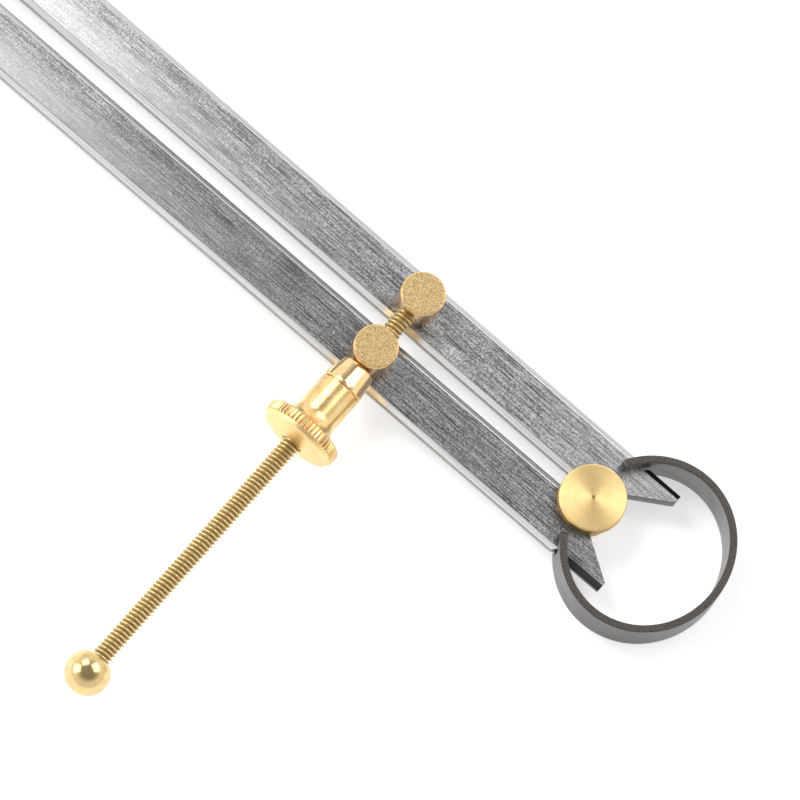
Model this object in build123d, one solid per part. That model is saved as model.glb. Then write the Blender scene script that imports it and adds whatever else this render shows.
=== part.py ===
from build123d import *
import os
from math import atan2, cos, degrees, radians, sin, sqrt, tan

# Spring divider with a quick-adjusting nut. All lengths are in millimetres.
# X runs along the tool, from the points of the legs (-X) to the bow spring (+X).
# Z is the axis of the fulcrum, and the tool lies flat with its underside on Z = 0.
# The left leg is on +Y and the right leg, with the nut and the ball, on -Y.

# Legs
LEG_WIDTH = 13.2
LEG_THICK = 4.0
LEG_REACH = 264.0            # fulcrum axis to the point
HALF_GAP = 1.55              # from the centre line to a leg's inner edge, legs parallel
REST_ANGLE = 0.125           # each leg stands this far open at rest, in degrees
BEVEL_PLAN = 1.3             # bevel of the long edges, measured across the face
BEVEL_DEPTH = 1.0            # and down the edge
TAPER_START = 197.0          # the outer edge starts to taper this far from the fulcrum
NECK_REACH = 246.0           # and reaches the slim neck of the point here
NECK_WIDTH = 3.6
POINT_WIDTH = 0.5
POINT_THICK = 0.5
POINT_LENGTH = 26.0          # length over which the thickness tapers

# Tongues, the short ends of the legs beyond the fulcrum
TONGUE_REACH = 14.6
TONGUE_END_WIDTH = 2.3
TONGUE_CUT_ANGLE = 32.6      # the inner edge is cut back, so that the legs can open
NOTCH_TIP_SIDE = 0.4         # the notch in the outer edge that seats the bow spring
NOTCH_BOW_SIDE = 5.3
NOTCH_FLOOR_START = 2.0
NOTCH_FLOOR_END = 3.7
NOTCH_DEPTH = 1.6

# Bow spring, a flat band bent to an open oval
BAND_WIDTH = 12.4
BAND_THICK = 1.8
BOW_CENTRE = 16.4
BOW_LENGTH_RADIUS = 19.8     # outside, along X
BOW_WIDTH_RADIUS = 21.3      # outside, along Y
BOW_END_ANGLE = 148.7        # the band ends here, counted from its back
FORK_ANGLE = 136.4           # the fork that straddles the leg is cut from here to the end
FORK_PAST_END = 5.0          # and the cut runs out this far past the end, in degrees
FORK_PLAY = 0.1              # above and below the leg
FLEX_ANGLE = 25.0            # the arms of the bow bend from here
SEAM = 0.02                  # between the back of the bow and its arms
SECTOR_STEPS = 6             # sides of the wedge that cuts a length out of the oval
SECTOR_REACH = 2.5           # and how far out it goes, in radii of the oval

# Fulcrum
CAP_RADIUS = 7.9
BACK_CAP_RADIUS = 6.7
CAP_THICK = 3.3
CAP_CHAMFER = 0.35
SEAT_RADIUS = 4.5
CORE_RADIUS = 4.42
SPIGOT_RADIUS = 2.5
BACK_FLOOR = 1.2
FACE_PLAY = 0.05             # between a leg and the parts that clamp it
PRESS_PLAY = 0.01            # round a pressed or screwed joint
PIP_RADIUS = 0.6
PIP_TIP_RADIUS = 0.05
PIP_DEPTH = 0.25

# Swivel posts
POST_REACH = 59.3
POST_RADIUS = 5.25
POST_HEIGHT = 10.5
POST_CHAMFER = 0.35
SHANK_RADIUS = 3.0
SHANK_PLAY = 0.05
WASHER_RADIUS = 4.6
WASHER_THICK = 1.0
RIVET_RADIUS = 3.9
RIVET_HEIGHT = 0.7
RIVET_CHAMFER = 0.4
PIN_RADIUS = 0.8
PIN_OVER_SCREW = 1.2

# Screw and ball
SCREW_RADIUS = 2.38
SCREW_HEIGHT = 4.7           # axis above the face of the legs
SCREW_PAST_POST = 2.7        # how far the screw goes past the axis of the anchor post
BALL_RADIUS = 5.35
BALL_FLAT = 3.9              # centre of the ball to its flat
BALL_REACH = 100.0           # axis of the guide post to the centre of the ball
BALL_BORE_PAST = 1.5
GUIDE_BORE_RADIUS = 2.5

# Quick-adjusting nut, places counted along the screw from the axis of the guide post
NOSE_START = 5.3
NOSE_END = 11.4
NOSE_TIP_RADIUS = 4.2
NUT_RADIUS = 5.15
NOSE_SPIGOT_END = 13.0
NOSE_SPIGOT_RADIUS = 4.3
NUT_BORE_RADIUS = 2.6
SLEEVE_START = 11.75
FLARE_START = 20.0
DISC_START = 23.8
DISC_END = 26.5
NUT_END = 29.05
FLARE_RADIUS = 9.15
DISC_RADIUS = 9.7
DOME_EDGE_RADIUS = 9.3
DOME_END_RADIUS = 3.4
DOME_SIDE_RADIUS = 9.0
DOME_SIDE = 27.3
DOME_SHOULDER_RADIUS = 8.3
DOME_SHOULDER = 27.8
SNAP_RING_RADIUS = 4.7
SNAP_RING_WIRE = 0.5
SNAP_RING_START = 12.15
CHAMBER_RADIUS = 4.15
CHAMBER_END = 21.6
JAW_START = 13.15
JAW_END = 21.4
JAW_RADIUS = 3.5
JAW_THREAD_RADIUS = 2.42
JAW_SPLIT = 0.3
JAW_GROOVE_START = 16.5
JAW_GROOVE_END = 18.1
JAW_GROOVE_RADIUS = 3.0
JAW_RING_INNER = 3.6
NUT_PLAY = 0.1

# Levels
LEG_BOTTOM = (BAND_WIDTH - LEG_THICK) / 2
LEG_TOP = LEG_BOTTOM + LEG_THICK
CAP_UNDERSIDE = LEG_TOP + FACE_PLAY
BACK_TOP = LEG_BOTTOM - FACE_PLAY
SCREW_Z = LEG_TOP + SCREW_HEIGHT
LEG_OUTER = HALF_GAP + LEG_WIDTH
LEG_MIDDLE = HALF_GAP + LEG_WIDTH / 2
POST_X = -POST_REACH * cos(radians(REST_ANGLE)) + LEG_MIDDLE * sin(radians(REST_ANGLE))
POST_Y = LEG_MIDDLE * cos(radians(REST_ANGLE)) + POST_REACH * sin(radians(REST_ANGLE))
GUIDE_Y = -POST_Y
BIG = 60.0


def upright(radius, low, high, x=0.0, y=0.0):
    """A cylinder standing on Z = low."""
    return Pos(x, y, (low + high) / 2) * Cylinder(radius, high - low)


def leg_outline():
    """The flat outline of the left leg, with its inner edge parallel to X."""
    tongue_inner = LEG_OUTER - TONGUE_END_WIDTH
    cut_start = TONGUE_REACH - (tongue_inner - HALF_GAP) / tan(radians(TONGUE_CUT_ANGLE))
    corners = [
        (-LEG_REACH, HALF_GAP),
        (cut_start, HALF_GAP),
        (TONGUE_REACH, tongue_inner),
        (TONGUE_REACH, LEG_OUTER),
        (-TAPER_START, LEG_OUTER),
        (-NECK_REACH, HALF_GAP + NECK_WIDTH),
        (-LEG_REACH, HALF_GAP + POINT_WIDTH),
    ]
    return make_face(Polyline(*corners, close=True))


def bevel(start, end):
    """The two wedges that bevel a long edge. The leg lies to the right of start to end."""
    length = sqrt((end[0] - start[0]) ** 2 + (end[1] - start[1]) ** 2)
    heading = degrees(atan2(end[1] - start[1], end[0] - start[0]))
    half = LEG_THICK / 2
    corners = [
        (-2 * BEVEL_PLAN, half + BEVEL_DEPTH),
        (-2 * BEVEL_PLAN, half - 3 * BEVEL_DEPTH),
        (BEVEL_PLAN, half),
        (BEVEL_PLAN, half + BEVEL_DEPTH),
    ]
    section = make_face(Polyline(*corners, close=True))
    upper = extrude(Plane.YZ * section, length)
    upper = mirror(upper, Plane.XZ)
    lower = mirror(upper, Plane.XY)
    place = Pos(start[0], start[1], LEG_BOTTOM + half) * Rot(0, 0, heading)
    return [place * upper, place * lower]


def point_wedges():
    """The wedges that thin a leg to its point, above and below."""
    middle = (LEG_TOP + LEG_BOTTOM) / 2
    corners = [
        (-LEG_REACH - 1, POINT_THICK / 2),
        (-LEG_REACH, POINT_THICK / 2),
        (POINT_LENGTH - LEG_REACH, LEG_THICK / 2),
        (POINT_LENGTH - LEG_REACH, LEG_THICK),
        (-LEG_REACH - 1, LEG_THICK),
    ]
    section = make_face(Plane.XZ * Polyline(*corners, close=True))
    upper = Pos(0, LEG_OUTER, middle) * extrude(section, LEG_OUTER + HALF_GAP, both=True)
    lower = mirror(upper, Plane((0, 0, middle)))
    return [upper, lower]


def notch():
    """The notch in the outer edge that seats the fork of the bow spring."""
    corners = [
        (NOTCH_TIP_SIDE - NOTCH_DEPTH, LEG_OUTER + NOTCH_DEPTH),
        (NOTCH_TIP_SIDE, LEG_OUTER),
        (NOTCH_FLOOR_START, LEG_OUTER - NOTCH_DEPTH),
        (NOTCH_FLOOR_END, LEG_OUTER - NOTCH_DEPTH),
        (NOTCH_BOW_SIDE, LEG_OUTER),
        (NOTCH_BOW_SIDE + NOTCH_DEPTH, LEG_OUTER + NOTCH_DEPTH),
    ]
    face = make_face(Polyline(*corners, close=True))
    return Pos(0, 0, LEG_BOTTOM - 1) * extrude(face, LEG_THICK + 2)


def left_leg():
    """A flat steel leg with bevelled edges, a seat for the fulcrum and a hole for its post."""
    leg = Pos(0, 0, LEG_BOTTOM) * extrude(leg_outline(), LEG_THICK)
    neck = (-NECK_REACH, HALF_GAP + NECK_WIDTH)
    taper = (-TAPER_START, LEG_OUTER)
    for cutter in (
        bevel((0, HALF_GAP), (-LEG_REACH, HALF_GAP))
        + bevel(taper, (TONGUE_REACH, LEG_OUTER))
        + bevel(neck, taper)
        + point_wedges()
    ):
        leg -= cutter
    leg -= notch()
    leg -= upright(SEAT_RADIUS, 0, BIG)
    leg -= upright(SHANK_RADIUS + SHANK_PLAY, 0, BIG, -POST_REACH, LEG_MIDDLE)
    return Rot(0, 0, -REST_ANGLE) * leg


def oval(inset):
    """The outline of the bow, inset from its outside."""
    return Pos(BOW_CENTRE, 0) * Ellipse(BOW_LENGTH_RADIUS - inset, BOW_WIDTH_RADIUS - inset)


def bow_point(angle, inset, reach=1.0):
    """A point of the bow at an angle from its back, or further out by reach."""
    x = BOW_CENTRE + (BOW_LENGTH_RADIUS - inset) * cos(radians(angle)) * reach
    y = (BOW_WIDTH_RADIUS - inset) * sin(radians(angle)) * reach
    return (x, y)


def bow_sector(start, end):
    """The part of the plane between two angles of the bow, on its left."""
    angles = [start + (end - start) * step / SECTOR_STEPS for step in range(SECTOR_STEPS + 1)]
    rim = [bow_point(angle, BAND_THICK / 2, SECTOR_REACH) for angle in angles]
    return make_face(Polyline((BOW_CENTRE, 0), *rim, close=True))


def bow_arm():
    """The left arm of the bow, with the fork that straddles the leg."""
    band = (oval(0) - oval(BAND_THICK)) & bow_sector(FLEX_ANGLE, BOW_END_ANGLE)
    arm = extrude(band, BAND_WIDTH)
    fork = extrude(bow_sector(FORK_ANGLE, BOW_END_ANGLE + FORK_PAST_END), LEG_THICK + 2 * FORK_PLAY)
    arm -= Pos(0, 0, LEG_BOTTOM - FORK_PLAY) * fork
    return arm


def bow_back():
    """The back of the bow, between the bends of its two arms."""
    gap = degrees(SEAM / BOW_WIDTH_RADIUS)
    half = bow_sector(-FLEX_ANGLE + gap, FLEX_ANGLE - gap)
    return extrude((oval(0) - oval(BAND_THICK)) & half, BAND_WIDTH)


def fulcrum_stud():
    """The front cap, the core that the legs turn on and the spigot for the back cap."""
    cap_top = CAP_UNDERSIDE + CAP_THICK
    cap = upright(CAP_RADIUS, CAP_UNDERSIDE, cap_top)
    cap = chamfer(cap.edges().group_by(Axis.Z)[-1], CAP_CHAMFER)
    pip = Pos(0, 0, cap_top - PIP_DEPTH / 2) * Cone(PIP_TIP_RADIUS, PIP_RADIUS, PIP_DEPTH)
    core = upright(CORE_RADIUS, BACK_TOP, CAP_UNDERSIDE)
    spigot = upright(SPIGOT_RADIUS, BACK_FLOOR + PRESS_PLAY, BACK_TOP)
    return cap + core + spigot - pip


def fulcrum_back_cap():
    """The back cap, pressed on the spigot. Its flat outer face is what the tool rests on."""
    cap = upright(BACK_CAP_RADIUS, 0, BACK_TOP)
    cap = chamfer(cap.edges().group_by(Axis.Z)[0], CAP_CHAMFER)
    return cap - upright(SPIGOT_RADIUS + PRESS_PLAY, BACK_FLOOR, BACK_TOP)


def post(y):
    """A swivel post: the head on the face of a leg, its shank and the riveted end."""
    head = upright(POST_RADIUS, CAP_UNDERSIDE, CAP_UNDERSIDE + POST_HEIGHT)
    head = chamfer(head.edges().group_by(Axis.Z)[-1], POST_CHAMFER)
    washer_low = BACK_TOP - WASHER_THICK
    shank = upright(SHANK_RADIUS, washer_low - RIVET_HEIGHT, CAP_UNDERSIDE)
    rivet = upright(RIVET_RADIUS, washer_low - RIVET_HEIGHT, washer_low)
    rivet = chamfer(rivet.edges().group_by(Axis.Z)[0], RIVET_CHAMFER)
    return Pos(POST_X, y, 0) * (head + shank + rivet)


def post_washer(y):
    """The washer under a leg, held by the riveted end of the post."""
    disc = upright(WASHER_RADIUS, BACK_TOP - WASHER_THICK, BACK_TOP)
    return Pos(POST_X, y, 0) * (disc - upright(SHANK_RADIUS + PRESS_PLAY, 0, BIG))


def screw_bore(radius, start, end):
    """A cylinder on the axis of the screw, from start to end past the guide post."""
    blank = Pos(0, 0, (start + end) / 2) * Cylinder(radius, end - start)
    return Pos(POST_X, GUIDE_Y, SCREW_Z) * Rot(90, 0, 0) * blank


def turned(profile):
    """A solid turned about the screw, from its half section in (radius, distance) points."""
    about_z = revolve(make_face(Plane.XZ * profile), Axis.Z)
    return Pos(POST_X, GUIDE_Y, SCREW_Z) * Rot(90, 0, 0) * about_z


def pin_hole(radius):
    """The hole for the pin that locks the screw in the anchor post, drilled from below."""
    top = SCREW_Z + PIN_OVER_SCREW
    return upright(radius, BACK_TOP - WASHER_THICK - RIVET_HEIGHT, top, POST_X, POST_Y)


def anchor_post():
    """The post that the end of the screw is fixed in."""
    anchor_distance = 2 * GUIDE_Y
    blank = post(POST_Y)
    blank -= screw_bore(SCREW_RADIUS + PRESS_PLAY, anchor_distance - SCREW_PAST_POST, 0)
    return blank - pin_hole(PIN_RADIUS + PRESS_PLAY)


def anchor_pin():
    """The pin that locks the screw in the anchor post."""
    return pin_hole(PIN_RADIUS)


def guide_post():
    """The post that the screw slides through, and that the nut bears on."""
    return post(GUIDE_Y) - screw_bore(GUIDE_BORE_RADIUS, -POST_RADIUS * 2, POST_RADIUS * 2)


def adjusting_screw():
    """The screw, plain at the outside diameter of its thread."""
    start = 2 * GUIDE_Y - SCREW_PAST_POST + PRESS_PLAY
    end = BALL_REACH + BALL_BORE_PAST - PRESS_PLAY
    return screw_bore(SCREW_RADIUS, start, end) - pin_hole(PIN_RADIUS + PRESS_PLAY)


def screw_ball():
    """The ball on the end of the screw, with a flat where the screw goes in."""
    ball = Pos(POST_X, GUIDE_Y - BALL_REACH, SCREW_Z) * Sphere(BALL_RADIUS)
    ball -= screw_bore(BALL_RADIUS, BALL_REACH - 2 * BALL_RADIUS, BALL_REACH - BALL_FLAT)
    return ball - screw_bore(SCREW_RADIUS + PRESS_PLAY, 0, BALL_REACH + BALL_BORE_PAST)


def nut_nose():
    """The tapered nose that bears on the guide post and swivels on the sleeve."""
    groove = SNAP_RING_START + SNAP_RING_WIRE
    profile = Polyline(
        (NUT_BORE_RADIUS, NOSE_START),
        (NOSE_TIP_RADIUS, NOSE_START),
        (NUT_RADIUS, NOSE_END),
        (NOSE_SPIGOT_RADIUS, NOSE_END),
        (NOSE_SPIGOT_RADIUS, SNAP_RING_START),
        (NOSE_SPIGOT_RADIUS - SNAP_RING_WIRE, SNAP_RING_START),
        (NOSE_SPIGOT_RADIUS - SNAP_RING_WIRE, groove),
        (NOSE_SPIGOT_RADIUS, groove),
        (NOSE_SPIGOT_RADIUS, NOSE_SPIGOT_END),
        (NUT_BORE_RADIUS, NOSE_SPIGOT_END),
        close=True,
    )
    return turned(profile)


def nut_snap_ring():
    """The wire ring that holds the nose in the sleeve, in a groove of each."""
    outer = SNAP_RING_RADIUS - NUT_PLAY
    inner = NOSE_SPIGOT_RADIUS - SNAP_RING_WIRE
    start = SNAP_RING_START + PRESS_PLAY
    end = SNAP_RING_START + SNAP_RING_WIRE - PRESS_PLAY
    return screw_bore(outer, start, end) - screw_bore(inner, start, end)


def nut_sleeve():
    """The knurled sleeve, hollow for the jaws, with a domed back."""
    spigot_bore = NOSE_SPIGOT_RADIUS + NUT_PLAY
    groove_end = SNAP_RING_START + SNAP_RING_WIRE
    flare = FLARE_RADIUS - NUT_RADIUS
    edge = (DOME_EDGE_RADIUS, DISC_END)
    step = Line((DISC_RADIUS, DISC_START), (FLARE_RADIUS, DISC_START))
    cove = RadiusArc((NUT_RADIUS, DISC_START - flare), (FLARE_RADIUS, DISC_START), flare)
    shoulder = (DOME_SHOULDER_RADIUS, DOME_SHOULDER)
    dome = ThreePointArc(edge, (DOME_SIDE_RADIUS, DOME_SIDE), shoulder)
    dome += Line(shoulder, (DOME_END_RADIUS, NUT_END))
    inside = Polyline(
        (DOME_END_RADIUS, NUT_END),
        (NUT_BORE_RADIUS, NUT_END),
        (NUT_BORE_RADIUS, CHAMBER_END),
        (CHAMBER_RADIUS, CHAMBER_END),
        (CHAMBER_RADIUS, NOSE_SPIGOT_END + NUT_PLAY),
        (spigot_bore, NOSE_SPIGOT_END + NUT_PLAY),
        (spigot_bore, groove_end),
        (SNAP_RING_RADIUS, groove_end),
        (SNAP_RING_RADIUS, SNAP_RING_START),
        (spigot_bore, SNAP_RING_START),
        (spigot_bore, SLEEVE_START),
        (NUT_RADIUS, SLEEVE_START),
        (NUT_RADIUS, DISC_START - flare),
    )
    rim = Polyline((DISC_RADIUS, DISC_START), (DISC_RADIUS, DISC_END), edge)
    return turned(step + cove + rim + dome + inside)


def nut_jaw(side):
    """Half of the split nut: side is 1 for the upper jaw and -1 for the lower."""
    jaw = screw_bore(JAW_RADIUS, JAW_START, JAW_END)
    jaw -= screw_bore(JAW_THREAD_RADIUS, JAW_START, JAW_END)
    groove = screw_bore(BIG, JAW_GROOVE_START, JAW_GROOVE_END)
    jaw -= groove - screw_bore(JAW_GROOVE_RADIUS, JAW_GROOVE_START, JAW_GROOVE_END)
    half = Pos(POST_X, GUIDE_Y - JAW_START, SCREW_Z + side * (BIG + JAW_SPLIT) / 2)
    return jaw & (half * Box(BIG, BIG, BIG))


def jaw_ring():
    """The spring ring round the two jaws."""
    start = JAW_GROOVE_START + NUT_PLAY
    end = JAW_GROOVE_END - NUT_PLAY
    ring = screw_bore(CHAMBER_RADIUS - PRESS_PLAY, start, end)
    return ring - screw_bore(JAW_RING_INNER, start, end)


def right_of(left_piece):
    """The mirror image of a piece on the left of the tool."""
    return mirror(left_piece, Plane.XZ)


PARTS = {
    "left_leg": left_leg(),
    "right_leg": right_of(left_leg()),
    "bow_spring_back": bow_back(),
    "bow_spring_left_arm": bow_arm(),
    "bow_spring_right_arm": right_of(bow_arm()),
    "fulcrum_stud": fulcrum_stud(),
    "fulcrum_back_cap": fulcrum_back_cap(),
    "anchor_post": anchor_post(),
    "anchor_washer": post_washer(POST_Y),
    "anchor_pin": anchor_pin(),
    "guide_post": guide_post(),
    "guide_washer": post_washer(GUIDE_Y),
    "adjusting_screw": adjusting_screw(),
    "screw_ball": screw_ball(),
    "nut_nose": nut_nose(),
    "nut_snap_ring": nut_snap_ring(),
    "nut_sleeve": nut_sleeve(),
    "nut_jaw_upper": nut_jaw(1),
    "nut_jaw_lower": nut_jaw(-1),
    "jaw_spring_ring": jaw_ring(),
}

os.makedirs("parts", exist_ok=True)
for node, shape in PARTS.items():
    export_step(shape, f"parts/{node}.step")
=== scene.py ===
import math

import bmesh
import bpy
from mathutils import Matrix, Vector


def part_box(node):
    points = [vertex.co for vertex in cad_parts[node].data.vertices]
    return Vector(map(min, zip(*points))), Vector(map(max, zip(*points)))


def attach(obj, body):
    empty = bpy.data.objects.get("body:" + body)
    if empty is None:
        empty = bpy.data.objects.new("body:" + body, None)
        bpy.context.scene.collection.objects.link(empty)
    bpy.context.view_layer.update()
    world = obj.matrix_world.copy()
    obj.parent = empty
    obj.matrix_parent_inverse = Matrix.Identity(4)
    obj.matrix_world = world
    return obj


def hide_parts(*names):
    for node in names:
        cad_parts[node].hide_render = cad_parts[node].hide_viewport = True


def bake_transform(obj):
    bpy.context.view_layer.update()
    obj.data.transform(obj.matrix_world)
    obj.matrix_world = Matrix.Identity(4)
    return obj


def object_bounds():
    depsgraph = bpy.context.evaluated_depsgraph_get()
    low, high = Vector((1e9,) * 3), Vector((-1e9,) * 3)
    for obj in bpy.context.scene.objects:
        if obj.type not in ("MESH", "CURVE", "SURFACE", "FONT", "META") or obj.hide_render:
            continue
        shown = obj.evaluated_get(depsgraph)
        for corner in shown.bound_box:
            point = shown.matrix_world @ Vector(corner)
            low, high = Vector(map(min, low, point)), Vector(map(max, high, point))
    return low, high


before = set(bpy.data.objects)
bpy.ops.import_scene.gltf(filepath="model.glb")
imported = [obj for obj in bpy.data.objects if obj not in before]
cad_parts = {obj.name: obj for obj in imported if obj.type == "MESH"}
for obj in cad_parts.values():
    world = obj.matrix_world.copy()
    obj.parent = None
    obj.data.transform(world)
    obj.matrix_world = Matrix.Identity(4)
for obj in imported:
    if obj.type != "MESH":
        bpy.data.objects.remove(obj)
CAD_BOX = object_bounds()

# Divider caliper. It lies on its back: X runs along it with the points at -X, the left leg is on +Y, and
# Z is up.
# Lengths are named in millimetres and turned into metres by MM.
MM = 0.001

# Turned parts: segments round a piece, and how finely a rounded corner is cut and how much of a side it takes
ROUND_SEGMENTS = 144
BORE_SEGMENTS = 72
CORNER_STEPS = 4
CORNER_SHARE = 0.45
SHARP_ANGLE = math.radians(32)
FLAT_WEIGHT = 80
ON_AXIS = 1e-6
FIT_GAP = 0.01

# The edge of a turned piece that sits against another: how far it is cut in and up, and how it is rounded
SEAT_IN = 0.1
SEAT_UP = 0.12
SEAT_IN_ROUND = 0.05
SEAT_UP_ROUND = 0.08

# Fulcrum
CAP_RADIUS = 7.9
BACK_CAP_RADIUS = 6.7
CAP_EDGE = 0.35
CAP_ROUND = 0.12
CORE_RADIUS = 4.42
SPIGOT_RADIUS = 2.5
SPIGOT_ROUND = 0.1
BACK_FLOOR = 1.2
LEG_UNDERSIDE = 4.15
LEG_FACE = 8.25
CAP_TOP = 11.55
PIP_RADIUS = 0.55
PIP_DEPTH = 0.22
PIP_ROUND = 0.08

# Posts
POST_RADIUS = 5.25
POST_TOP = 18.75
POST_EDGE = 0.38
POST_ROUND = 0.14
SHANK_RADIUS = 3.0
WASHER_RADIUS = 4.6
WASHER_LOW = 3.15
WASHER_ROUND = 0.15
RIVET_RADIUS = 3.9
RIVET_LOW = 2.45
RIVET_IN = 0.5
RIVET_SIDE = 0.25
RIVET_END_ROUND = 0.3
RIVET_SIDE_ROUND = 0.2
PIN_HOLE_RADIUS = 0.81
PIN_TOP = 14.1
GUIDE_BORE = 2.5
ANCHOR_BORE = 2.4
ANCHOR_BORE_END = 2.7
BORE_SPARE = 1

# Screw: a pointed thread of 24 turns to the inch, which stops a little before the screw's ends
PITCH = 1.0583
CREST_RADIUS = 2.375
ROOT_RADIUS = 1.75
CREST_HALF = 0.085
ROOT_HALF = 0.07
LAND_DROP = 0.025
THREAD_SEGMENTS = 40
THREAD_START_TURNS = 0.1
THREAD_SPARE_TURNS = 1.2
THREAD_SHARP_ANGLE = math.radians(28)

# Ball, and the narrow slope from its round to its flat, with its angle in radians
BALL_RADIUS = 5.35
BALL_FLAT = 3.9
BALL_STEPS = 72
BALL_RIM_ANGLE = 0.02
BALL_RIM = 0.06

# Nut, places counted along the screw from the axis of the guide post
NOSE_START = 5.3
NOSE_END = 11.4
NOSE_TIP_RADIUS = 4.2
NOSE_TIP_IN = 0.1
NOSE_TIP_OUT = 0.05
NOSE_TIP_LENGTH = 0.25
NOSE_TIP_ROUND = 0.15
NOSE_BORE_ROUND = 0.12
NOSE_SHOULDER_IN = 0.02
NOSE_SHOULDER = 0.75
NOSE_SHOULDER_ROUND = 0.3
NUT_RADIUS = 5.15
NUT_SEAT_IN = 0.12
SPIGOT_END = 13.0
NUT_SPIGOT_RADIUS = 4.3
NUT_BORE = 2.6
NUT_EDGE_ROUND = 0.1
SLEEVE_START = 11.75
DISC_START = 23.8
DISC_END = 26.5
NUT_END = 29.05
FLARE_RADIUS = 9.15
FLARE_STEPS = 16
DISC_RADIUS = 9.7
DISC_FRONT_EDGE = 0.3
DISC_BACK_EDGE = 0.25
DISC_FACE_ROUND = 0.04
DISC_SIDE_ROUND = 0.08
DOME_EDGE_RADIUS = 9.3
DOME_LIP = 0.1
DOME_LIP_DROP = 0.02
DOME_SHOULDER_RADIUS = 8.3
DOME_SHOULDER = 27.8
DOME_SHOULDER_BULGE = 0.30
DOME_SHOULDER_STEPS = 10
DOME_END_RADIUS = 3.4
DOME_BULGE = 0.18
DOME_STEPS = 12
NUT_MOUTH_FLAT = 0.25
NUT_MOUTH_DEPTH = 0.3
CHAMBER_RADIUS = 4.15
CHAMBER_START = 13.1
CHAMBER_END = 21.6
SLEEVE_MOUTH_RADIUS = 4.4
GROOVE_START = 12.15
GROOVE_END = 12.65
GROOVE_OUTER_RADIUS = 4.7
GROOVE_INNER_RADIUS = 3.8

# Knurl: teeth, steps for a tooth, the shape of its grooves, and how clear of the dome's edge it starts
KNURL_TEETH = 54
KNURL_DEPTH = 0.34
KNURL_STEPS = 8
KNURL_GROOVE_SHARE = 0.62
KNURL_GROOVE_CURVE = 0.8
KNURL_CLEAR = 0.05
KNURL_MARGIN = 0.01

# Bow spring: an oval band, its ends forked, with angles counted from the crown
BAND_WIDTH = 12.4
BAND_THICK = 1.8
BOW_CENTRE = 16.4
BOW_LENGTH_RADIUS = 19.8
BOW_WIDTH_RADIUS = 21.3
BOW_END_ANGLE = 148.7
BOW_STEPS = 400
FORK_ANGLE = 136.4
FORK_LOW = 4.1
FORK_HIGH = 8.3
FORK_CORNER = 0.7
PRONG_CORNER = 1.3
BOW_EDGE = 0.28
BOW_SLICE_ANGLE = 2.0
SLICE_TOLERANCE = 1e-5
AT_SEAM = 1e-6
SEAM_STRIP = 0.02

# Bow spring: how much light its faces give back when seen at a grazing angle
SPRING_GRAZING = (0.72, 0.72, 0.73, 1.0)

# Bow spring: the stretch along X over which painted shade darkens its outside, and how sharply outside and
# inside part
BOW_SHADE_START = 2.0
BOW_SHADE_END = 16.0
BOW_OUTSIDE = 5.0

# Legs
LEG_EDGE = 0.18
LEG_MERGE = 0.002
LEG_FLAT_ANGLE = math.radians(3)
LEG_CORNER_ANGLE = math.radians(12)

# Legs: the stretches along X where a painted highlight brightens them far out and near the fulcrum, and
# painted shade darkens them in the bow
LEG_PAINTED_LIGHT_START = -70.0
LEG_PAINTED_LIGHT_END = -150.0
LEG_NEAR_LIGHT_START = -25.0
LEG_NEAR_LIGHT_END = 5.0
LEG_BOW_SHADE_START = 2.0
LEG_BOW_SHADE_END = 5.0

# Legs: how their painted far highlight fades across them, counted from their side towards -Y
LEG_APART = 8.5
LEG_HALF_WIDTH = 6.5
LEG_FADE_START = 4.0
LEG_FADE_END = 10.0

# Brass: where the knurl's grooves, the disc's back, the worn crest and the dark root start
KNURL_CREST_DROP = 0.08
KNURL_BACK_MARGIN = 0.1
DISC_BACK_MARGIN = 0.05
WORN_START_DROP = 0.10
WORN_FULL_DROP = 0.04
ROOT_DARK_RISE = 0.25

# Camera: where it stands, seen from the object, and what it looks at, in metres
CAMERA_AZIMUTH = 12.91
CAMERA_ELEVATION = 75.03
CAMERA_ROLL = 28.31
CAMERA_AIM = (-0.04779, -0.01144, 0.00807)
CAMERA_LENS = 600.0
CAMERA_SENSOR = 36.0
CAMERA_NEAR_SHARE = 0.1
CAMERA_FAR_SHARE = 10
VIEW_WIDTH = 0.1818

# Surround: bright at the sides, dimmer overhead and in front of the bow
SKY_SIDE = 1.1
SKY_TOP = 0.32
SKY_TOP_BLUE = 1.01
SKY_SIDE_HEIGHT = 0.45
SKY_TOP_HEIGHT = 0.78
SKY_FRONT = (0.67, -0.74, 0.0)
SKY_FRONT_START = 0.25
SKY_FRONT_FULL = 0.95
SKY_FRONT_SHARE = 0.85

# Soft lights: where they stand, in metres, and what the one near the points looks at
RIGHT_LIGHT = (0.27, 0.62, 0.94)
LEFT_LIGHT = (-0.94, -0.50, 0.64)
POINTS_LIGHT = (-0.31, 0.05, 0.30)
POINTS_AIM = (-0.24, 0.0, 0.0)
SHADOW_LIGHT = (-0.74, 0.06, 0.84)

# Floor: half its width in metres, how much light it gives back, and how much it gives itself
FLOOR_REACH = 6.0
FLOOR_GREY = "c8c8c8"
FLOOR_PALE = "cbcbcb"
FLOOR_ROUGHNESS = 0.7
FLOOR_SHINE = 0.2
FLOOR_GLOW = 0.55

# Turns a piece's own Z axis to run along the screw, from the anchor post to the ball
TO_SCREW = Matrix.Rotation(math.pi / 2, 4, "X")


# ---------------------------------------------------------------- mesh helpers

def middle(node):
    """The centre of a CAD node's box."""
    low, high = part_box(node)
    return (low + high) / 2


SCREW_AXIS = middle("adjusting_screw")
GUIDE_AXIS = middle("guide_post")


def new_object(name, mesh, place=None):
    """A mesh object in the scene, standing at a place given as a matrix."""
    thing = bpy.data.objects.new(name, mesh)
    bpy.context.scene.collection.objects.link(thing)
    if place is not None:
        thing.matrix_world = place
    return thing


def smooth(mesh, angle=SHARP_ANGLE):
    """Smooth shading that keeps the edges sharper than the angle."""
    mesh.shade_smooth()
    mesh.set_sharp_from_angle(angle=angle)


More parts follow.
